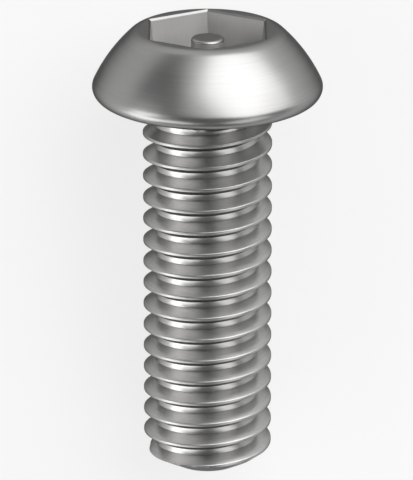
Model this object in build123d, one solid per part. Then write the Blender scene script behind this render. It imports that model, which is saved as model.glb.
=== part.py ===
from build123d import *
import os
from math import asin, atan2, ceil, degrees, floor, hypot, radians, sqrt, tan

# Pin-hex button head machine screw, M4 x 0.7, 12 mm long under the head. It is headed and
# rolled from one blank, so it is one solid: a domed head with a flat land, a hexagon socket
# with a centre pin left standing in it, and a shank threaded from a short neck to the tip.
#
# It is drawn upright on its own axis, with the origin at the centre of the bearing face under
# the head, +Z out of the socket and -Z down the shank. Then it is laid on its side, resting on
# the head's rim and the thread, with the head towards +Y. Lengths are in millimetres, angles
# are in degrees, and angles round the axis are counted from the middle of a socket flat.

# Shank and ISO metric thread
nominal_diameter = 4.0
thread_allowance = 0.02  # what the thread's outside diameter is under the nominal one
thread_pitch = 0.7
thread_flank_angle = 30.0  # between a flank and the plane across the axis
crest_clocking = 54.0  # where the crest would meet the bearing face if it ran on
shank_length = 12.0  # bearing face to tip
neck_fillet = 0.2
neck_plain_length = 0.15  # from the fillet to where the neck slopes down to the thread's root
tip_flat_diameter = 2.15
tip_chamfer_length = 0.5

# Head
head_diameter = 7.07
head_height = 2.14
land_diameter = 4.12  # the flat ring round the socket's mouth
land_edge_radius = 0.5
dome_radius = 5.06
rim_radius = 0.34

# Socket and centre pin
socket_across_flats = 3.5
socket_depth = 1.3
socket_draft = 5.0  # each wall leans in by this much towards the floor
mouth_chamfer = 0.055
pin_diameter = 1.0
pin_recess = 0.26  # land down to the top of the pin
pin_edge_chamfer = 0.06

# The side it lies on
lying_clocking = 90.0

# ISO basic profile: the flats on crest and root are an eighth and a quarter of the pitch
flank_slope = tan(radians(thread_flank_angle))
crest_flat = thread_pitch / 8
root_flat = thread_pitch / 4
thread_depth = (thread_pitch - crest_flat - root_flat) / 2 / flank_slope

neck_radius = nominal_diameter / 2
crest_radius = neck_radius - thread_allowance / 2
root_radius = crest_radius - thread_depth
tip_radius = tip_flat_diameter / 2
neck_end = -neck_fillet - neck_plain_length
chamfer_start = tip_chamfer_length - shank_length


def on_circle(centre: Vector, radius: float, toward: Vector) -> Vector:
    """The point of a circle that lies in a given direction from its centre."""
    return centre + toward.normalized() * radius


def dome_centre(land_edge: Vector, rim: Vector) -> Vector:
    """Centre of the dome, whose arc runs on smoothly from the land's edge and into the rim.

    Both edge arcs touch the dome from inside, so the dome's centre is one known distance from
    each of their centres, and those two distances and the line between them make a triangle.
    """
    to_land_edge = dome_radius - land_edge_radius
    to_rim = dome_radius - rim_radius
    chord = rim - land_edge
    along = (to_land_edge**2 - to_rim**2 + chord.length**2) / (2 * chord.length)
    aside = sqrt(to_land_edge**2 - along**2)
    unit = chord.normalized()
    inward = Vector(unit.Y, -unit.X)
    return land_edge + unit * along + inward * aside


def head_and_neck() -> Part:
    """The turned head and the plain neck under it, without the socket.

    The neck's slope runs on inward by a thread's depth, so it ends inside the threaded core.
    """
    land_edge = Vector(land_diameter / 2, head_height - land_edge_radius)
    rim = Vector(head_diameter / 2 - rim_radius, rim_radius)
    neck = Vector(neck_radius + neck_fillet, -neck_fillet)
    dome = dome_centre(land_edge, rim)

    land_end = Vector(land_edge.X, head_height)
    dome_top = on_circle(dome, dome_radius, land_edge - dome)
    dome_foot = on_circle(dome, dome_radius, rim - dome)
    rim_foot = Vector(rim.X, 0)
    neck_top = Vector(neck.X, 0)
    neck_foot = Vector(neck_radius, neck.Y)

    land_edge_mid = on_circle(land_edge, land_edge_radius, (land_end + dome_top) / 2 - land_edge)
    dome_mid = on_circle(dome, dome_radius, (dome_top + dome_foot) / 2 - dome)
    rim_mid = on_circle(rim, rim_radius, (dome_foot - rim).normalized() + Vector(0, -1))
    neck_mid = on_circle(neck, neck_fillet, Vector(-1, 1))

    slope_end_radius = root_radius - thread_depth
    slope_end = neck_end - (neck_radius - slope_end_radius) * flank_slope
    outline = Polyline((0, slope_end), (0, head_height), land_end)
    outline += ThreePointArc(land_end, land_edge_mid, dome_top)
    outline += ThreePointArc(dome_top, dome_mid, dome_foot)
    outline += ThreePointArc(dome_foot, rim_mid, rim_foot)
    outline += Line(rim_foot, neck_top)
    outline += ThreePointArc(neck_top, neck_mid, neck_foot)
    outline += Polyline(
        neck_foot,
        (neck_radius, neck_end),
        (slope_end_radius, slope_end),
        (0, slope_end),
    )
    return revolve(Plane.XZ * make_face(outline), Axis.Z)


def ridge_helices(bottom: float, rise: float) -> list[Edge]:
    """The four edges of a length of the thread's ridge, from its tip side to its head side.

    The outer two bound the crest. The foot is sunk into the core by a share of the depth.
    """
    sink = thread_depth / 8
    foot = crest_flat / 2 + (thread_depth + sink) * flank_slope
    corners = (
        (root_radius - sink, -foot),
        (crest_radius, -crest_flat / 2),
        (crest_radius, crest_flat / 2),
        (root_radius - sink, foot),
    )
    return [(Pos(0, 0, bottom + z) * Helix(thread_pitch, rise, r)).edge() for r, z in corners]


def thread_stock() -> Part:
    """The core with one helical ridge standing on it, longer than the shank at both ends.

    The ridge's faces are ruled between helices of two turns each, sewn end to end.
    """
    rise = 2 * thread_pitch
    lengths = ceil(shank_length / rise) + 1
    bottom = thread_pitch * (1 - crest_clocking / 360) - lengths * rise
    rows = [ridge_helices(bottom + step * rise, rise) for step in range(lengths)]
    faces = [Face(Wire.make_polygon([edge @ 0 for edge in rows[0]]))]
    faces += [Face(Wire.make_polygon([edge @ 1 for edge in rows[-1]]))]
    for row in rows:
        faces += [Face.make_surface_from_curves(*pair) for pair in zip(row, row[1:] + row[:1])]

    core_length = lengths * rise + 2 * thread_pitch
    up = (Align.CENTER, Align.CENTER, Align.MIN)
    core = Pos(0, 0, bottom - thread_pitch) * Cylinder(root_radius, core_length, align=up)
    return core + Solid(Shell(faces))


def threaded_shank() -> Part:
    """The thread from inside the neck down to the tip, with the tip chamfered right round."""
    top = -neck_fillet - neck_plain_length / 2
    beyond = 2 * neck_radius
    chamfer_slope = (crest_radius - tip_radius) / tip_chamfer_length
    envelope = Polygon(
        (0, top),
        (beyond, top),
        (beyond, -shank_length + (beyond - tip_radius) / chamfer_slope),
        (tip_radius, -shank_length),
        (0, -shank_length),
        align=None,
    )
    return thread_stock() & revolve(Plane.XZ * envelope, Axis.Z)


def hexagon(across_flats: float) -> Sketch:
    """A hexagon with two of its flats square to X and a corner at either end of Y."""
    return Rot(0, 0, 30) * RegularPolygon(across_flats / 2, 6, major_radius=False)


def socket() -> Part:
    """The space of the drive socket: drafted hexagon and mouth chamfer, less the centre pin.

    The mouth's cutter goes twice as deep as its chamfer, so it ends inside the hexagon.
    """
    land = Pos(0, 0, head_height)
    recess = land * extrude(hexagon(socket_across_flats), -socket_depth, taper=socket_draft)
    mouth_outline = hexagon(socket_across_flats + 2 * mouth_chamfer)
    mouth = land * extrude(mouth_outline, -2 * mouth_chamfer, taper=45)

    up = (Align.CENTER, Align.CENTER, Align.MIN)
    pin = Cylinder(pin_diameter / 2, socket_depth - pin_recess, align=up)
    pin = chamfer(pin.edges().sort_by(Axis.Z)[-1], pin_edge_chamfer)
    return recess + mouth - Pos(0, 0, head_height - socket_depth) * pin


def resting_angle() -> float:
    """How far the axis dips towards the tip when the screw lies on a level surface.

    It rests on the round of the head's rim and on the tip side of the last whole crest, as the
    crests stand along the side that it lies on.
    """
    lead = thread_pitch * (lying_clocking - crest_clocking) / 360 - crest_flat / 2
    last_crest = lead - thread_pitch * floor((lead - chamfer_start) / thread_pitch)
    run = rim_radius - last_crest
    rise = head_diameter / 2 - rim_radius - crest_radius
    return degrees(atan2(rise, run) + asin(rim_radius / hypot(run, rise)))


screw = head_and_neck() - socket() + threaded_shank()
screw = Rot(resting_angle() - 90, 0, 0) * Rot(0, 0, 90 - lying_clocking) * screw

os.makedirs("parts", exist_ok=True)
export_step(screw, "parts/screw.step")
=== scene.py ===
"""Pin-hex button head machine screw: its steel skin, its satin finish and the studio it lies in.

The screw is worked out upright on its own axis, as it is turned: the origin is the centre of the
bearing face, heights run out of the drive socket, and angles round the axis are counted from the
middle of a socket flat. The skin is then laid on its side, on the head's rim and the thread.
Sizes are in millimetres and angles in degrees until the skin is laid down, and metres after that.
"""

import logging
from collections.abc import Mapping, Sequence
from dataclasses import dataclass, field
from enum import Enum
from math import asin, atan2, cos, degrees, floor, hypot, pi, radians, sin, sqrt, tan
from typing import Any

import bmesh
import bpy
import numpy as np
from mathutils import Matrix, Vector


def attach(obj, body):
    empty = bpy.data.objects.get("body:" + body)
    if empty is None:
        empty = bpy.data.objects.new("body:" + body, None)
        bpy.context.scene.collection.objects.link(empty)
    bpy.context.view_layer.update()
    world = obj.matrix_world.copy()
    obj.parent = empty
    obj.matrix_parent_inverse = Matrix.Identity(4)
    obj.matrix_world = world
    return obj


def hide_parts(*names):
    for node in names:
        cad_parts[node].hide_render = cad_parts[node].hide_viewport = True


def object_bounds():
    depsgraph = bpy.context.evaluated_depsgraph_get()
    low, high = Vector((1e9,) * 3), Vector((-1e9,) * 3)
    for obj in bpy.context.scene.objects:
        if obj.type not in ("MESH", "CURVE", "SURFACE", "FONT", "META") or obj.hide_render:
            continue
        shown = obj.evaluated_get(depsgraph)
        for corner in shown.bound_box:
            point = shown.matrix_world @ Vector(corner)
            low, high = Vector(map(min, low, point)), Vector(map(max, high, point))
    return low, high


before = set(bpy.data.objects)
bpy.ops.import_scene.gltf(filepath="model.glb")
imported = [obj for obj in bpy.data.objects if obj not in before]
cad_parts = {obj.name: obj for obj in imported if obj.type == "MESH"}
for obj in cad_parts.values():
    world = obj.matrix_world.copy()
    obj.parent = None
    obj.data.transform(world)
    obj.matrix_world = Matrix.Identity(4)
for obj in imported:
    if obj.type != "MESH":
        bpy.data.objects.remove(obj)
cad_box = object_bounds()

log = logging.getLogger("button_head_screw")

# A millimetre in metres, and the picture and the sensor that the lens is worked out for.
MM = 0.001
FRAME_WIDTH_PX = 413
FRAME_HEIGHT_PX = 480
SENSOR_MM = 36.0
# Points that are closer than this, in metres, are one point.
WELD_DISTANCE = 1e-8
# A place that is closer to the axis than this, in millimetres, has no direction from it.
ON_THE_AXIS = 0.001
# Angle in degrees between two flats of the socket, and from the middle of a flat to a corner.
SECTOR = 60.0
HALF_SECTOR = SECTOR / 2

Array = np.ndarray


# ---------------------------------------------------------------------------------------------
# Shape
# ---------------------------------------------------------------------------------------------


@dataclass(frozen=True)
class Rings:
    """Rings of points round the axis: one row for each ring and one column for each angle."""

    radius: Array
    height: Array

    @classmethod
    def turned(cls, outline: Array, columns: int) -> "Rings":
        """Rings that are true circles: an outline carried round the axis.

        Args:
            outline: A row of radius and height for each ring.
            columns: How many angles each ring has.

        Returns:
            The rings, each of one radius and one height.
        """
        full = np.ones((1, columns))
        return cls(outline[:, :1] * full, outline[:, 1:] * full)

    @classmethod
    def stacked(cls, parts: Sequence["Rings"]) -> "Rings":
        """All the parts' rings as one run, in the order given.

        Args:
            parts: Runs of rings over the same angles.

        Returns:
            The joined run.
        """
        return cls(
            np.vstack([part.radius for part in parts]),
            np.vstack([part.height for part in parts]),
        )

    def __len__(self) -> int:
        """How many rings there are."""
        return len(self.radius)


def arc(centre: tuple[float, float], radius: float, start: float, end: float, steps: int) -> Array:
    """Points on a circle in the outline's plane: centre + radius * (sin a, cos a).

    Args:
        centre: Radius and height of the arc's centre.
        radius: The arc's own radius.
        start: Angle from straight up at the first point, in degrees, positive outwards.
        end: The same angle at the last point.
        steps: How many equal steps the arc has.

    Returns:
        A row of radius and height for each point.
    """
    a = np.radians(np.linspace(start, end, steps + 1))
    return np.column_stack([centre[0] + radius * np.sin(a), centre[1] + radius * np.cos(a)])


def blended(first: Array, second: Array, steps: int) -> Array:
    """Rows that run straight from one ring to another: first * (1 - t) + second * t.

    Args:
        first: The ring that t = 0 would give, which the run before has already.
        second: The ring that t = 1 gives.
        steps: How many equal steps there are between the two.

    Returns:
        A row for each step, the last of them the second ring.
    """
    t = np.linspace(0.0, 1.0, steps + 1)[1:, None]
    return first * (1 - t) + second * t


def smooth_min(a: Array, b: Array, width: float) -> Array:
    """The lower of two heights, with the corner between them rounded off.

    Formula: where they differ by less than the width w, a parabola takes over:
    h = 0.5 + 0.5 * (b - a) / w held to 0..1, and the result is b(1 - h) + a h - w h (1 - h) / 2.

    Args:
        a: The first height.
        b: The second height.
        width: The difference at which the rounding starts.

    Returns:
        The rounded lower height.
    """
    h = np.clip(0.5 + 0.5 * (b - a) / width, 0.0, 1.0)
    return b * (1 - h) + a * h - width * h * (1 - h) / 2


def from_flat(angles: Array) -> Array:
    """Angle in degrees from the middle of the nearest socket flat, from -30 to 30."""
    return (angles + HALF_SECTOR) % SECTOR - HALF_SECTOR


@dataclass(frozen=True)
class Compass:
    """The angles round the axis at which every ring has a point.

    Even steps carry the turned forms, and closer ones round each socket corner carry its radius.
    """

    steps: int = 240
    corner_spread: tuple[float, ...] = (0.0, 0.3, 0.62, 1.0)
    corner_reach: float = 1.2

    def angles(self) -> Array:
        """All the angles, in degrees.

        Even steps that fall within the corner's reach give way to the corner's own steps.

        Returns:
            The angles in rising order, from 0 to 360 with both ends.
        """
        even = np.linspace(0.0, 360.0, self.steps + 1)
        even = even[HALF_SECTOR - np.abs(from_flat(even)) > self.corner_reach]
        corners = np.arange(HALF_SECTOR, 360.0, SECTOR)[:, None]
        spread = np.array(self.corner_spread)
        near = np.concatenate([corners + spread, corners - spread]).ravel()
        return np.unique(np.round(np.concatenate([even, near]), 6))


@dataclass
class CentrePin:
    """The pin that stands in the socket and keeps a plain key out.

    The top shares are the parts of the flat top's radius at which it has a ring, and the side
    starts that far under the top, just clear of the rounded edge.
    """

    diameter: float = 1.0
    recess: float = 0.26
    edge_round: float = 0.085
    edge_steps: int = 6
    top_shares: tuple[float, ...] = (0.0, 0.5, 0.9)
    side_start: float = 0.1275

    def top_rings(self, angles: Array, land: float) -> Rings:
        """The pin's flat top and its rounded edge, from the middle outwards.

        Args:
            angles: The compass angles.
            land: Height of the land over the bearing face.

        Returns:
            The rings of the pin's end.
        """
        top, flat = land - self.recess, self.diameter / 2 - self.edge_round
        outline = np.vstack([
            [[flat * share, top] for share in self.top_shares],
            arc((flat, top - self.edge_round), self.edge_round, 0.0, 90.0, self.edge_steps),
        ])
        return Rings.turned(outline, len(angles))

    def side_rings(self, angles: Array, land: float, foot: float) -> Rings:
        """The pin's plain side, from under its rounded edge down to the socket's floor.

        Args:
            angles: The compass angles.
            land: Height of the land over the bearing face.
            foot: Height of the socket's floor.

        Returns:
            The rings of the pin's side.
        """
        radius, start = self.diameter / 2, land - self.recess - self.side_start
        outline = np.array([[radius, start], [radius, (start + foot) / 2], [radius, foot]])
        return Rings.turned(outline, len(angles))


@dataclass
class HexSocket:
    """The drive socket: drafted walls, a chamfered mouth and a flat floor round the pin."""

    across_flats: float = 3.5
    depth: float = 1.3
    draft: float = 5.0
    mouth_chamfer: float = 0.055
    corner_round: float = 0.045
    floor_steps: int = 4
    wall_steps: int = 6
    mouth_steps: int = 2

    def outline(self, across_flats: float, angles: Array) -> Array:
        """Radius of a hexagon with rounded corners at each angle.

        Formula: on a flat, half the width over cos(angle from the flat's middle). Within the
        corner's own arc, d cos(e) + sqrt(rho^2 - d^2 sin(e)^2), where e is the angle from the
        corner, rho the corner's radius and d the distance of its centre from the axis.

        Args:
            across_flats: The hexagon's width across flats.
            angles: The compass angles.

        Returns:
            A radius for each angle.
        """
        half, rho, sector = across_flats / 2, self.corner_round, radians(HALF_SECTOR)
        turn = np.radians(from_flat(angles))
        from_corner = sector - np.abs(turn)
        centre = (half - rho) / cos(sector)
        reach = atan2(rho * sin(sector), centre + rho * cos(sector))
        straight = half / np.cos(turn)
        inside = np.maximum(rho**2 - (centre * np.sin(from_corner)) ** 2, 0.0)
        curved = centre * np.cos(from_corner) + np.sqrt(inside)
        return np.where(from_corner < reach, curved, straight)

    @property
    def lean(self) -> float:
        """How far a wall leans in for each millimetre down."""
        return tan(radians(self.draft))

    @property
    def chamfer_foot(self) -> float:
        """Depth under the land at which the chamfer meets the leaning walls."""
        return self.mouth_chamfer / (1 - self.lean)

    def lip(self, angles: Array) -> Array:
        """Radius of the walls where they meet the mouth's chamfer, at each angle."""
        return self.outline(self.across_flats - 2 * self.lean * self.chamfer_foot, angles)

    def mouth(self, angles: Array) -> Array:
        """Radius of the mouth where it meets the land, at each angle."""
        return self.outline(self.across_flats + 2 * self.mouth_chamfer, angles)

    def rings(self, angles: Array, land: float, pin: CentrePin) -> Rings:
        """The floor from the pin outwards and then the walls, up to the mouth's chamfer.

        Args:
            angles: The compass angles.
            land: Height of the land over the bearing face.
            pin: The pin that stands in the socket.

        Returns:
            The socket's rings, without the pin's foot.
        """
        floor_height = land - self.depth
        foot = self.outline(self.across_flats - 2 * self.lean * self.depth, angles)
        pin_foot = np.full_like(angles, pin.diameter / 2)
        level = np.ones_like(angles)
        lip_height = land - self.chamfer_foot
        bottom = blended(pin_foot, foot, self.floor_steps)
        wall = blended(foot, self.lip(angles), self.wall_steps)
        climb = blended(floor_height * level, lip_height * level, self.wall_steps)
        return Rings.stacked([
            Rings(bottom, np.full_like(bottom, floor_height)),
            Rings(wall, climb),
        ])

    def chamfer_rings(self, angles: Array, land: float) -> Rings:
        """The mouth's chamfer, from the top of the walls out to the land.

        Args:
            angles: The compass angles.
            land: Height of the land over the bearing face.

        Returns:
            The chamfer's rings, without the one on the walls.
        """
        level = np.ones_like(angles)
        return Rings(
            blended(self.lip(angles), self.mouth(angles), self.mouth_steps),
            blended((land - self.chamfer_foot) * level, land * level, self.mouth_steps),
        )


@dataclass
class ButtonHead:
    """The domed head: a flat land, a rounded shoulder, the dome, the rim and the bearing face.

    The mouth's margin keeps the shoulder's rings outside of the socket's corners, and the
    bearing margin sets a ring that far inside the rim, where the flat bearing face starts.
    """

    diameter: float = 7.07
    height: float = 2.14
    land_diameter: float = 4.12
    land_edge_radius: float = 0.5
    dome_radius: float = 5.06
    rim_radius: float = 0.34
    mouth_margin: float = 0.004
    bearing_margin: float = 0.03
    land_steps: int = 3
    shoulder_steps: int = 9
    dome_steps: int = 22
    rim_steps: int = 16

    def dome_centre(self) -> tuple[float, float]:
        """Centre of the dome's arc, which touches the arcs of the land's edge and the rim.

        Formula: its distances from the two small arcs' centres are the differences of the
        radii, so it is the third corner of a triangle whose three sides are known.

        Returns:
            Radius and height of the centre.
        """
        edge = np.array([self.land_diameter / 2, self.height - self.land_edge_radius])
        rim = np.array([self.diameter / 2 - self.rim_radius, self.rim_radius])
        to_edge = self.dome_radius - self.land_edge_radius
        to_rim = self.dome_radius - self.rim_radius
        chord = rim - edge
        length = float(np.hypot(*chord))
        along = (to_edge**2 - to_rim**2 + length**2) / (2 * length)
        aside = sqrt(to_edge**2 - along**2)
        unit = chord / length
        centre = edge + unit * along + np.array([unit[1], -unit[0]]) * aside
        return float(centre[0]), float(centre[1])

    def rings(self, angles: Array, mouth: Array, neck_top: float) -> Rings:
        """The land from the socket's mouth outwards, then over the dome and under the head.

        Where the mouth's corners reach past the land, the first rings are pushed out to them,
        and they take the height that the rounded shoulder has there.

        Args:
            angles: The compass angles.
            mouth: Radius of the socket's mouth at each angle.
            neck_top: Radius at which the neck's fillet meets the bearing face.

        Returns:
            The head's rings, from just outside the mouth to the fillet's start.
        """
        edge = (self.land_diameter / 2, self.height - self.land_edge_radius)
        rim = (self.diameter / 2 - self.rim_radius, self.rim_radius)
        dome = self.dome_centre()
        dome_start = degrees(atan2(edge[0] - dome[0], edge[1] - dome[1]))
        dome_end = degrees(atan2(rim[0] - dome[0], rim[1] - dome[1]))

        shoulder = arc(edge, self.land_edge_radius, 0.0, dome_start, self.shoulder_steps)
        radius = np.vstack([
            blended(mouth, np.maximum(edge[0], mouth), self.land_steps)[:-1],
            np.maximum(shoulder[:, :1], mouth + self.mouth_margin),
        ])
        drop = np.clip(radius - edge[0], 0.0, None)
        height = edge[1] + np.sqrt(self.land_edge_radius**2 - drop**2)

        below = np.vstack([
            arc(dome, self.dome_radius, dome_start, dome_end, self.dome_steps)[1:],
            arc(rim, self.rim_radius, dome_end, 180.0, self.rim_steps)[1:],
            [[rim[0] - self.bearing_margin, 0.0]],
            [[(rim[0] + neck_top) / 2, 0.0], [neck_top, 0.0]],
        ])
        return Rings.stacked([Rings(radius, height), Rings.turned(below, len(angles))])


@dataclass
class ThreadedShank:
    """The neck under the head and the right-hand metric thread down to the chamfered tip.

    The ring offsets are the distances from a crest's middle, down to the next root, at which the
    wound strip has a ring: close together over the rounded corners of the crest and the root.
    The tip shares are the parts of the end face's radius at which it has a ring.
    """

    nominal_diameter: float = 4.0
    allowance: float = 0.02
    pitch: float = 0.7
    flank_angle: float = 30.0
    crest_share: float = 1 / 8
    root_share: float = 1 / 4
    crest_clocking: float = 54.0
    length: float = 12.0
    neck_fillet: float = 0.2
    neck_plain: float = 0.15
    tip_flat_diameter: float = 2.15
    tip_chamfer: float = 0.5
    tip_shares: tuple[float, ...] = (0.97, 0.5, 0.0)
    crest_rounding: float = 0.028
    root_rounding: float = 0.02
    ring_offsets: tuple[float, ...] = (0.0, 0.03, 0.044, 0.058, 0.155, 0.25, 0.2625, 0.276)
    fillet_steps: int = 8

    @property
    def crest_radius(self) -> float:
        """Radius of the thread's crest."""
        return (self.nominal_diameter - self.allowance) / 2

    @property
    def half_crest(self) -> float:
        """Half the width of the crest's flat."""
        return self.pitch * self.crest_share / 2

    @property
    def depth(self) -> float:
        """Depth of the thread: the flanks take what crest and root leave of the pitch."""
        flanks = self.pitch * (1 - self.crest_share - self.root_share)
        return flanks / 2 / tan(radians(self.flank_angle))

    @property
    def neck_end(self) -> float:
        """Height at which the plain neck ends and slopes into the thread."""
        return -self.neck_fillet - self.neck_plain

    @property
    def neck_top(self) -> float:
        """Radius at which the fillet under the head meets the bearing face."""
        return self.nominal_diameter / 2 + self.neck_fillet

    def neck(self, angles: Array) -> Rings:
        """The fillet and the plain neck, down to where the neck slopes into the thread.

        Args:
            angles: The compass angles.

        Returns:
            The neck's rings, without the one on the bearing face.
        """
        centre = (self.neck_top, -self.neck_fillet)
        outline = np.vstack([
            arc(centre, self.neck_fillet, 0.0, -90.0, self.fillet_steps)[1:],
            [[self.nominal_diameter / 2, self.neck_end]],
        ])
        return Rings.turned(outline, len(angles))

    def ridge(self, offset: Array) -> Array:
        """Radius of the thread at a distance from the middle of its crest, along the axis.

        Formula: the flank falls by 1 / tan(flank angle) for each millimetre from the crest's
        edge. It is cut off by the crest above and by the root below, with rounded corners.

        Args:
            offset: Distance from the nearest crest's middle.

        Returns:
            The radius at each offset.
        """
        crest, root = self.crest_radius, self.crest_radius - self.depth
        flank = crest - (np.abs(offset) - self.half_crest) / tan(radians(self.flank_angle))
        topped = smooth_min(np.full_like(flank, crest), flank, self.crest_rounding)
        return -smooth_min(-topped, np.full_like(flank, -root), self.root_rounding)

    def thread(self, angles: Array) -> Rings:
        """The thread as one strip wound round the shank, cut to the neck and the tip.

        Formula: the crest is at height pitch * (angle - clocking) / 360, less a whole pitch for
        each turn down. Every ring follows that slope, so a crest or a flank never crosses the
        rings. Heights are held between the neck's end and the tip. The radius is the larger of
        the thread's and the neck's slope, and the smaller of that and the tip's chamfer.

        Args:
            angles: The compass angles.

        Returns:
            The strip's rings and the rings that close the tip.
        """
        half = np.array(self.ring_offsets)
        period = np.concatenate([half, [self.pitch / 2], self.pitch - half[:0:-1]])
        # The turns in the length, the part of a turn left over, and one to spare at each end.
        turns = int(self.length / self.pitch) + 3
        down = (np.arange(turns)[:, None] * self.pitch + period).ravel()[:, None]
        crest = self.pitch * (angles - self.crest_clocking) / 360.0 + self.pitch
        height = np.clip(crest - down, -self.length, self.neck_end)
        offset = (crest - height + self.pitch / 2) % self.pitch - self.pitch / 2

        neck, tip = self.nominal_diameter / 2, self.tip_flat_diameter / 2
        neck_slope = neck - (self.neck_end - height) / tan(radians(self.flank_angle))
        cone = tip + (height + self.length) * (self.crest_radius - tip) / self.tip_chamfer
        radius = np.minimum(np.maximum(self.ridge(offset), neck_slope), cone)
        radius = np.where(height >= self.neck_end, neck, radius)
        end = np.array([[tip * share, -self.length] for share in self.tip_shares])
        return Rings.stacked([Rings(radius, height), Rings.turned(end, len(angles))])


@dataclass
class LyingPose:
    """How the finished screw lies: on the rim's round and on the last whole crest.

    The clocking is the angle round the axis of the side that it lies on.
    """

    clocking: float = 90.0

    def dip(self, head: ButtonHead, shank: ThreadedShank) -> float:
        """How far the axis dips towards the tip, in degrees.

        Formula: the line from the rim's centre to the tip side of the last whole crest, and
        the angle that the rim's own radius takes up over that distance.

        Args:
            head: The head, whose rim touches down.
            shank: The shank, whose crest touches down.

        Returns:
            The dip.
        """
        lead = shank.pitch * (self.clocking - shank.crest_clocking) / 360 - shank.half_crest
        chamfer_start = shank.tip_chamfer - shank.length
        last_crest = lead - shank.pitch * floor((lead - chamfer_start) / shank.pitch)
        run = head.rim_radius - last_crest
        rise = head.diameter / 2 - head.rim_radius - shank.crest_radius
        return degrees(atan2(rise, run) + asin(head.rim_radius / hypot(run, rise)))

    def matrix(self, dip: float) -> Matrix:
        """The turn from the screw's own axes to the frame's, for a dip in degrees."""
        return Matrix.Rotation(radians(dip - 90.0), 4, "X")


# ---------------------------------------------------------------------------------------------
# Shader nodes
# ---------------------------------------------------------------------------------------------


class MathStep(Enum):
    """The sums that a Math node does for the finishes and the room."""

    ADD = "ADD"
    SUBTRACT = "SUBTRACT"
    MULTIPLY = "MULTIPLY"
    DIVIDE = "DIVIDE"
    MAXIMUM = "MAXIMUM"
    MINIMUM = "MINIMUM"
    SQRT = "SQRT"


class Signal:
    """A number that varies over a surface or round the room, written in sums as any number is."""

    def __init__(self, bench: "Bench", socket: bpy.types.NodeSocket) -> None:
        """Wraps one output socket.

        Args:
            bench: The tree that the socket is in.
            socket: The output socket.
        """
        self.bench = bench
        self.socket = socket

    def __add__(self, other: "Signal | float") -> "Signal":
        """This plus the other."""
        return self.bench.sum(MathStep.ADD, self, other)

    __radd__ = __add__

    def __sub__(self, other: "Signal | float") -> "Signal":
        """This less the other."""
        return self.bench.sum(MathStep.SUBTRACT, self, other)

    def __rsub__(self, other: "Signal | float") -> "Signal":
        """The other less this."""
        return self.bench.sum(MathStep.SUBTRACT, other, self)

    def __mul__(self, other: "Signal | float") -> "Signal":
        """This times the other."""
        return self.bench.sum(MathStep.MULTIPLY, self, other)

    __rmul__ = __mul__

    def __truediv__(self, other: "Signal | float") -> "Signal":
        """This over the other."""
        return self.bench.sum(MathStep.DIVIDE, self, other)

    def __rtruediv__(self, other: "Signal | float") -> "Signal":
        """The other over this."""
        return self.bench.sum(MathStep.DIVIDE, other, self)

    def at_least(self, other: "Signal | float") -> "Signal":
        """The larger of this and the other."""
        return self.bench.sum(MathStep.MAXIMUM, self, other)

    def at_most(self, other: "Signal | float") -> "Signal":
        """The smaller of this and the other."""
        return self.bench.sum(MathStep.MINIMUM, self, other)

    def root(self) -> "Signal":
        """The square root of this."""
        return self.bench.sum(MathStep.SQRT, self)

    def ramp(self, low: float, high: float) -> "Signal":
        """0 where this is at the low value, 1 at the high one, and held beyond them."""
        return ((self - low) / (high - low)).at_least(0.0).at_most(1.0)


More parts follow.
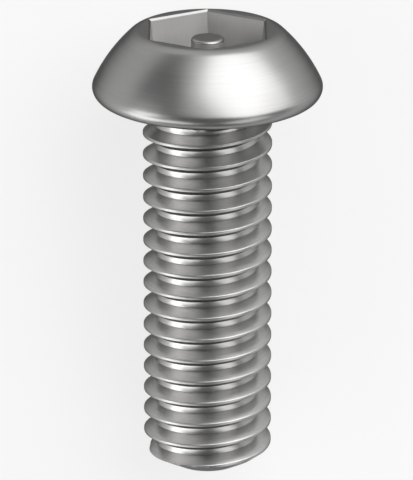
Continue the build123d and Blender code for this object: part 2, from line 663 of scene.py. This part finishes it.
class Bench:
    """The node tree of a material or of the room, and the only place where nodes are added."""

    def __init__(self, owner: bpy.types.Material | bpy.types.World) -> None:
        """Starts with an empty tree.

        Args:
            owner: The material or the world that the tree is for.
        """
        self.owner = owner
        owner.use_nodes = True
        self.tree = owner.node_tree
        self.tree.nodes.clear()

    def node(
        self,
        kind: str,
        settings: Mapping[str, Any] | None = None,
        sockets: Mapping[str | int, Any] | None = None,
    ) -> bpy.types.Node:
        """Adds a node, sets it up and then fills its inputs.

        Args:
            kind: The node's type.
            settings: Its own properties, set before its sockets are touched.
            sockets: A value, a Signal or an output socket for each input, by name or place.

        Returns:
            The node.
        """
        node = self.tree.nodes.new(kind)
        for key, value in (settings or {}).items():
            setattr(node, key, value)
        for key, value in (sockets or {}).items():
            if isinstance(value, Signal):
                self.tree.links.new(value.socket, node.inputs[key])
            elif isinstance(value, bpy.types.NodeSocket):
                self.tree.links.new(value, node.inputs[key])
            else:
                node.inputs[key].default_value = value
        return node

    def signal(self, node: bpy.types.Node, output: str | int) -> Signal:
        """One output of a node, ready for sums."""
        return Signal(self, node.outputs[output])

    def sum(self, step: MathStep, *values: "Signal | float") -> Signal:
        """A Math node on the values given.

        Args:
            step: What the node does.
            values: Its one or two inputs.

        Returns:
            Its result.
        """
        node = self.node("ShaderNodeMath", {"operation": step.value}, dict(enumerate(values)))
        return self.signal(node, 0)

    def joined(self, parts: Sequence[Signal]) -> bpy.types.NodeSocket:
        """Three signals as one vector."""
        return self.node("ShaderNodeCombineXYZ", None, dict(enumerate(parts))).outputs[0]

    def noise(self, vector: bpy.types.NodeSocket, extra: "Signal | float" = 0.0) -> Signal:
        """Cloudy noise from 0 to 1 over four lengths, one unit to a cloud, with two finer layers.

        Args:
            vector: The first three lengths.
            extra: The fourth.

        Returns:
            The noise.
        """
        node = self.node(
            "ShaderNodeTexNoise",
            {"noise_dimensions": "4D"},
            {"Vector": vector, "W": extra, "Scale": 1.0, "Detail": 2.0, "Roughness": 0.55},
        )
        return self.signal(node, "Fac")

    def shade(
        self, amount: Signal, dark: Sequence[float], light: Sequence[float]
    ) -> bpy.types.NodeSocket:
        """A colour that runs from dark to light as the amount runs from 0 to 1.

        Args:
            amount: The share of the light colour.
            dark: Red, green and blue where the amount is 0.
            light: Red, green and blue where it is 1.

        Returns:
            The colour's output socket.
        """
        node = self.node(
            "ShaderNodeMix",
            {"data_type": "RGBA"},
            {0: amount, 6: (*dark, 1.0), 7: (*light, 1.0)},
        )
        return node.outputs[2]

    def finish_with(
        self, shader: bpy.types.NodeSocket
    ) -> bpy.types.Material | bpy.types.World:
        """Ends the tree with its surface.

        Args:
            shader: The shader's output socket.

        Returns:
            The finished material or world.
        """
        in_room = isinstance(self.owner, bpy.types.World)
        kind = "ShaderNodeOutputWorld" if in_room else "ShaderNodeOutputMaterial"
        self.node(kind, None, {"Surface": shader})
        return self.owner


# ---------------------------------------------------------------------------------------------
# Finishes
# ---------------------------------------------------------------------------------------------


class Grain(Enum):
    """Which way the fine lines of a finish run."""

    ROUND_THE_AXIS = "round the axis"
    ALONG_THE_AXIS = "along the axis"


@dataclass(frozen=True)
class SatinSteel:
    """Satin stainless steel with the fine lines that turning, rolling or punching leaves.

    The contrast is how far the colour goes to either side, as a share of it. It follows the fine
    lines and, with less strength, soft patches such as handling leaves. Where a crest radius is
    given, the steel is a little duller over the last bit up to it, and darker there: painted shade
    that dims the crests' highlights.
    """

    name: str
    # The default colour, which pin and head take, is the steel darkened: painted shade that dims
    # the pale sheet's reflection on the head.
    colour: tuple[float, float, float] = (0.31, 0.308, 0.306)
    edge_tint: float = 0.1
    contrast: float = 0.08
    roughness: float = 0.34
    roughness_spread: float = 0.05
    grain: Grain = Grain.ROUND_THE_AXIS
    line_width: float = 0.028
    line_length: float = 1.6
    line_depth: float = 0.0003
    line_strength: float = 1.4
    patch_strength: float = 0.5
    crest_radius: float | None = None
    crest_band: float = 0.03
    # How far painted shade darkens the crests, to dim their highlights.
    crest_painted_shade: float = 0.4
    crest_dulling: float = 0.06

    def build(self, dip: float) -> bpy.types.Material:
        """The material, with its pattern laid along the screw's own axis.

        Args:
            dip: How far the axis dips, in degrees.

        Returns:
            The material.
        """
        bench = Bench(bpy.data.materials.new(self.name))
        x, y, height = self._upright(bench, dip)
        radius = (x * x + y * y).root()
        lines = self._lines(bench, x, y, height, radius)
        patches = bench.noise(bench.joined((x, y, height)))

        tone = (lines - 0.5) * self.line_strength + (patches - 0.5) * self.patch_strength + 0.5
        rough = (lines + patches - 1.0) * self.roughness_spread + self.roughness
        if self.crest_radius is not None:
            # Painted shade: near the crest the colour is darkened to dim the crests' highlights;
            # the dulling there is roughness.
            crest = radius.ramp(self.crest_radius - self.crest_band, self.crest_radius)
            tone = tone - crest * self.crest_painted_shade
            rough = rough + crest * self.crest_dulling
        dark = [c * (1 - self.contrast) for c in self.colour]
        light = [c * (1 + self.contrast) for c in self.colour]
        bump = bench.node(
            "ShaderNodeBump",
            None,
            {"Strength": 1.0, "Distance": self.line_depth * MM, "Height": lines},
        )
        steel = bench.node(
            "ShaderNodeBsdfPrincipled",
            None,
            {
                "Base Color": bench.shade(tone.at_least(0.0).at_most(1.0), dark, light),
                "Metallic": 1.0,
                "Specular Tint": (self.edge_tint, self.edge_tint, self.edge_tint, 1.0),
                "Roughness": rough,
                "Normal": bump.outputs[0],
            },
        )
        return bench.finish_with(steel.outputs[0])

    @staticmethod
    def _upright(bench: Bench, dip: float) -> tuple[Signal, Signal, Signal]:
        """The place on the screw in its own upright axes, in millimetres.

        Args:
            bench: The material's tree.
            dip: How far the axis dips, in degrees.

        Returns:
            The two lengths across the axis and the height along it.
        """
        place = bench.node("ShaderNodeTexCoord")
        upright = bench.node(
            "ShaderNodeMapping",
            {"vector_type": "POINT"},
            {
                "Vector": place.outputs["Object"],
                "Rotation": (radians(90.0 - dip), 0.0, 0.0),
                "Scale": (1 / MM, 1 / MM, 1 / MM),
            },
        )
        axes = bench.node("ShaderNodeSeparateXYZ", None, {0: upright.outputs[0]})
        return bench.signal(axes, 0), bench.signal(axes, 1), bench.signal(axes, 2)

    def _lines(self, bench: Bench, x: Signal, y: Signal, height: Signal, radius: Signal) -> Signal:
        """The fine lines, as noise from 0 to 1.

        Formula: noise changes once in a line's width across the lines and once in a line's
        length along them. Lines round the axis take the direction from the axis as the length
        along them, and the height and the radius as the lengths across. Lines along the axis
        take the height as the length along them.

        Args:
            bench: The material's tree.
            x: First length across the axis.
            y: Second length across the axis.
            height: Length along the axis.
            radius: Distance from the axis.

        Returns:
            The lines.
        """
        across, along = 1 / self.line_width, 1 / self.line_length
        if self.grain is Grain.ALONG_THE_AXIS:
            return bench.noise(bench.joined((x * across, y * across, height * along)))
        from_axis = radius.at_least(ON_THE_AXIS)
        direction = (x / from_axis * (2 * along), y / from_axis * (2 * along), height * across)
        return bench.noise(bench.joined(direction), radius * across)


@dataclass(frozen=True)
class PaleSheet:
    """The pale sheet that the screw lies on: matt card under a white of its own.

    The camera and the steel both see the white, which lights nothing else. The paleness is its
    share of what they see, and the rest is the card, which takes the lamps and the shadow.
    """

    name: str = "pale_sheet"
    colour: tuple[float, float, float] = (0.71, 0.71, 0.71)
    cloud_shade: float = 0.985
    cloud_size: float = 4.0
    matt: float = 0.4
    paleness: float = 0.75

    def build(self) -> bpy.types.Material:
        """The material: a matt colour with faint soft clouds, as card has, and the white.

        Returns:
            The material.
        """
        bench = Bench(bpy.data.materials.new(self.name))
        place = bench.node("ShaderNodeTexCoord")
        clouds = bench.node(
            "ShaderNodeMapping",
            None,
            {"Vector": place.outputs["Object"], "Scale": (1 / (self.cloud_size * MM),) * 3},
        )
        fibres = bench.noise(clouds.outputs[0])
        tint = bench.shade(fibres, [c * self.cloud_shade for c in self.colour], self.colour)
        card = bench.node(
            "ShaderNodeBsdfPrincipled",
            None,
            {
                "Base Color": tint,
                "Roughness": 1.0,
                "Specular IOR Level": 0.0,
                "Diffuse Roughness": self.matt,
            },
        )
        white = bench.node("ShaderNodeEmission", None, {"Strength": 1.0})
        path = bench.node("ShaderNodeLightPath")
        seen = (
            bench.signal(path, "Is Camera Ray")
            + bench.signal(path, "Is Glossy Ray")
            + bench.signal(path, "Is Transmission Ray")
        ).at_most(1.0)
        mixed = bench.node(
            "ShaderNodeMixShader",
            None,
            {0: seen * self.paleness, 1: card.outputs[0], 2: white.outputs[0]},
        )
        return bench.finish_with(mixed.outputs[0])


@dataclass(frozen=True)
class DimRoom:
    """The room round the sheet: a low pale backdrop, and dim above it.

    The two angles over the horizon are where the backdrop starts to fade and where it has gone.
    """

    name: str = "dim_room"
    backdrop: float = 0.97
    dim: float = 0.12
    backdrop_top: float = 3.5
    dim_from: float = 7.0

    def build(self) -> bpy.types.World:
        """The world, whose grey follows the sine of the angle over the horizon.

        Returns:
            The world.
        """
        bench = Bench(bpy.data.worlds.new(self.name))
        place = bench.node("ShaderNodeTexCoord")
        way = bench.node("ShaderNodeSeparateXYZ", None, {0: place.outputs["Generated"]})
        low, high = sin(radians(self.backdrop_top)), sin(radians(self.dim_from))
        over = bench.signal(way, 2).ramp(low, high)
        grey = bench.shade(over, (self.backdrop,) * 3, (self.dim,) * 3)
        wall = bench.node("ShaderNodeBackground", None, {"Color": grey, "Strength": 1.0})
        return bench.finish_with(wall.outputs[0])


# ---------------------------------------------------------------------------------------------
# Screw and studio
# ---------------------------------------------------------------------------------------------


def put_in_scene(name: str, data: bpy.types.ID) -> bpy.types.Object:
    """Puts a new object into the scene.

    Args:
        name: The object's name.
        data: Its mesh, lamp or camera.

    Returns:
        The object.
    """
    thing = bpy.data.objects.new(name, data)
    bpy.context.scene.collection.objects.link(thing)
    return thing


@dataclass
class MachineScrew:
    """The whole screw: one closed skin from the pin's top, over the head, down to the tip."""

    compass: Compass = field(default_factory=Compass)
    pin: CentrePin = field(default_factory=CentrePin)
    socket: HexSocket = field(default_factory=HexSocket)
    head: ButtonHead = field(default_factory=ButtonHead)
    shank: ThreadedShank = field(default_factory=ThreadedShank)
    pose: LyingPose = field(default_factory=LyingPose)
    crease: float = 38.0
    broad_face_weight: int = 60

    @property
    def dip(self) -> float:
        """How far the axis dips towards the tip, in degrees."""
        return self.pose.dip(self.head, self.shank)

    def build(self) -> bpy.types.Object:
        """Makes the skin, dresses it and puts it in the frame.

        Returns:
            The screw's object.
        """
        angles = self.compass.angles()
        land = self.head.height
        pin = self.pin.top_rings(angles, land)
        socket = Rings.stacked([
            self.pin.side_rings(angles, land, land - self.socket.depth),
            self.socket.rings(angles, land, self.pin),
        ])
        outside = Rings.stacked([
            self.socket.chamfer_rings(angles, land),
            self.head.rings(angles, self.socket.mouth(angles), self.shank.neck_top),
            self.shank.neck(angles),
        ])
        thread = self.shank.thread(angles)
        mesh = self._skin(angles, [pin, socket, outside, thread])
        screw = put_in_scene("machine_screw", mesh)
        for finish in self.finishes():
            mesh.materials.append(finish.build(self.dip))
        self._even_shading(screw)
        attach(screw, "root")
        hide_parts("screw")
        log.info("machine_screw: %d faces, dips %.3f degrees", len(mesh.polygons), self.dip)
        return screw

    def finishes(self) -> list[SatinSteel]:
        """The steel of each part of the screw.

        Returns:
            The finishes of pin, socket, head and thread, in the order of their rings.
        """
        return [
            # Pin and head: the darkened default colour is painted shade that dims the pale sheet's
            # reflection.
            SatinSteel("turned_pin_steel_painted_shade"),
            # Socket walls, floor and the pin's side: the duller finish with lines along the axis is
            # the punched one; the lighter colour is painted light in the recess.
            SatinSteel(
                "punched_socket_steel_painted_light",
                colour=(0.5, 0.494, 0.489),
                roughness=0.55,
                grain=Grain.ALONG_THE_AXIS,
                line_width=0.03,
                line_length=0.5,
            ),
            SatinSteel("turned_head_steel_painted_shade"),
            # Thread: the rolled lines and their contrast are its own; the colour, lighter than the
            # head's, is painted light on the shaded flanks, and the darkened crests are painted
            # shade that dims their highlights.
            SatinSteel(
                "rolled_thread_steel_painted_light_and_shade",
                colour=(0.44, 0.437, 0.434),
                edge_tint=0.12,
                contrast=0.17,
                roughness=0.32,
                roughness_spread=0.09,
                line_width=0.03,
                crest_radius=self.shank.crest_radius,
            ),
        ]

    def _skin(self, angles: Array, zones: Sequence[Rings]) -> bpy.types.Mesh:
        """The closed mesh through all the rings, laid in the frame.

        Formula: a point is (radius cos a, radius sin a, height), and each face joins two
        neighbouring rings at two neighbouring angles. Points that fall on each other, at the
        seam, the two poles and where rings are held to one height, are welded.

        Args:
            angles: The compass angles.
            zones: The rings of each finish, in order.

        Returns:
            The mesh, with one material place for each zone.
        """
        rings = Rings.stacked(zones)
        a = np.radians(angles)
        points = np.stack(
            [rings.radius * np.cos(a), rings.radius * np.sin(a), rings.height], axis=-1
        )
        rows, columns = rings.radius.shape
        index = np.arange(rows * columns).reshape(rows, columns)
        faces = np.stack(
            [index[:-1, :-1], index[1:, :-1], index[1:, 1:], index[:-1, 1:]], axis=-1
        ).reshape(-1, 4)
        zone_of_row = np.repeat(np.arange(len(zones)), [len(zone) for zone in zones])
        zone_of_face = np.repeat(zone_of_row[1:], columns - 1)

        mesh = bpy.data.meshes.new("machine_screw")
        mesh.from_pydata((points.reshape(-1, 3) * MM).tolist(), [], faces.tolist())
        mesh.polygons.foreach_set("material_index", zone_of_face.astype(np.int32))
        mesh.transform(self.pose.matrix(self.dip))
        work = bmesh.new()
        work.from_mesh(mesh)
        bmesh.ops.remove_doubles(work, verts=work.verts, dist=WELD_DISTANCE)
        bmesh.ops.recalc_face_normals(work, faces=work.faces)
        work.to_mesh(mesh)
        work.free()
        mesh.polygons.foreach_set("use_smooth", np.ones(len(mesh.polygons), dtype=bool))
        mesh.set_sharp_from_angle(angle=radians(self.crease))
        mesh.update()
        return mesh

    def _even_shading(self, screw: bpy.types.Object) -> None:
        """Lets the broad faces keep their own direction beside the narrow rounded edges.

        Args:
            screw: The screw's object.
        """
        even = screw.modifiers.new("even_shading", "WEIGHTED_NORMAL")
        even.mode = "FACE_AREA"
        even.weight = self.broad_face_weight
        even.keep_sharp = True


@dataclass
class Lamp:
    """One soft rectangular lamp, placed by its bearing and height angle from the screw.

    The bearing is counted from beyond the head towards the right, the height angle from the
    sheet, and the level is the lamp's own brightness, where 1 shows as white.
    """

    name: str
    bearing: float
    lift: float
    width: float
    height: float
    level: float
    distance: float = 550.0

    def direction(self) -> Vector:
        """The way from the screw to the lamp."""
        bearing, lift = radians(self.bearing), radians(self.lift)
        return Vector((sin(bearing) * cos(lift), cos(bearing) * cos(lift), sin(lift)))

    def build(self, aim: Vector) -> bpy.types.Object:
        """Hangs the lamp and turns it to the screw.

        Args:
            aim: The point that it looks at.

        Returns:
            The lamp.
        """
        data = bpy.data.lights.new(self.name, "AREA")
        data.shape = "RECTANGLE"
        data.size = self.width * MM
        data.size_y = self.height * MM
        data.energy = self.level * pi * data.size * data.size_y
        lamp = put_in_scene(self.name, data)
        lamp.visible_camera = False
        lamp.location = aim + self.direction() * self.distance * MM
        lamp.rotation_euler = self.direction().to_track_quat("Z", "Y").to_euler()
        log.info("%s: %.0f x %.0f mm at level %.2f", self.name, self.width, self.height, self.level)
        return lamp


@dataclass
class Studio:
    """The sheet on the table, the soft lamps over it and the dim room round it."""

    sheet_size: float = 4000.0
    aim: tuple[float, float, float] = (0.0, -3.0, 0.0)
    lamps: tuple[Lamp, ...] = (
        Lamp("key_lamp", 40.0, 31.0, 770.0, 660.0, 2.7),
        Lamp("wash_lamp", 20.0, 41.0, 800.0, 680.0, 0.9),
        Lamp("strip_lamp", -121.0, 13.0, 360.0, 280.0, 3.4),
        Lamp("back_lamp", -144.0, 35.0, 320.0, 200.0, 2.4),
        Lamp("left_lamp", -86.0, 27.0, 290.0, 300.0, 3.1),
        Lamp("fill_lamp", 130.0, 36.0, 430.0, 300.0, 1.7),
    )

    def build(self) -> None:
        """Lays the sheet, hangs the lamps and dims the room."""
        self._sheet()
        for lamp in self.lamps:
            lamp.build(Vector(self.aim) * MM)
        bpy.context.scene.world = DimRoom().build()

    def _sheet(self) -> bpy.types.Object:
        """The flat sheet, at the height of the lowest point of the part.

        Returns:
            The sheet.
        """
        half, level = self.sheet_size / 2 * MM, cad_box[0].z
        side = np.array([-half, half])
        x, y = np.meshgrid(side, side)
        corners = np.column_stack([x.ravel(), y.ravel(), np.full(4, level)])
        mesh = bpy.data.meshes.new("sheet")
        mesh.from_pydata(corners.tolist(), [], [(0, 1, 3, 2)])
        mesh.materials.append(PaleSheet().build())
        sheet = put_in_scene("sheet", mesh)
        log.info("sheet: %.0f mm square at %.3f mm", self.sheet_size, level / MM)
        return sheet


@dataclass
class PortraitCamera:
    """The long-lens camera that looks down on the lying screw, with its head at the top.

    Across and along are the place on the screw that it looks at, from the bearing face's centre
    and up the axis. The focal length is counted in the picture's own points.
    """

    look_down: float = 19.961
    distance: float = 143.85
    across: float = -0.0303
    along: float = -4.6927
    focal_px: float = 4643.9
    nearest: float = 1.0
    farthest: float = 10000.0

    def build(self, pose: Matrix) -> bpy.types.Object:
        """Sets up the camera and makes it the scene's own.

        Seen in the screw's own upright axes, it stands in front and looks down by its angle at
        a point on the axis. The screw's lying pose then carries it along.

        Args:
            pose: The turn from the screw's own axes to the frame's.

        Returns:
            The camera.
        """
        tilt = radians(self.look_down)
        back = Vector((0.0, -cos(tilt), sin(tilt)))
        up = Vector((0.0, sin(tilt), cos(tilt)))
        place = Vector((self.across, 0.0, self.along)) + back * self.distance
        axes = Matrix((Vector((1.0, 0.0, 0.0)), up, back)).transposed().to_4x4()
        data = bpy.data.cameras.new("portrait_camera")
        data.sensor_width = SENSOR_MM
        data.lens = self.focal_px / max(FRAME_WIDTH_PX, FRAME_HEIGHT_PX) * SENSOR_MM
        data.clip_start = self.nearest * MM
        data.clip_end = self.farthest * MM
        camera = put_in_scene("portrait_camera", data)
        camera.matrix_world = pose @ Matrix.Translation(place * MM) @ axes
        bpy.context.scene.camera = camera
        log.info("portrait_camera: %.1f mm lens", data.lens)
        return camera


def main() -> None:
    """Builds the camera, the screw and the studio, in that order."""
    logging.basicConfig(level=logging.INFO, format="%(name)s: %(message)s")
    bpy.context.scene.view_settings.view_transform = "Standard"
    screw = MachineScrew()
    PortraitCamera().build(screw.pose.matrix(screw.dip))
    screw.build()
    Studio().build()


if __name__ == "__main__":
    main()
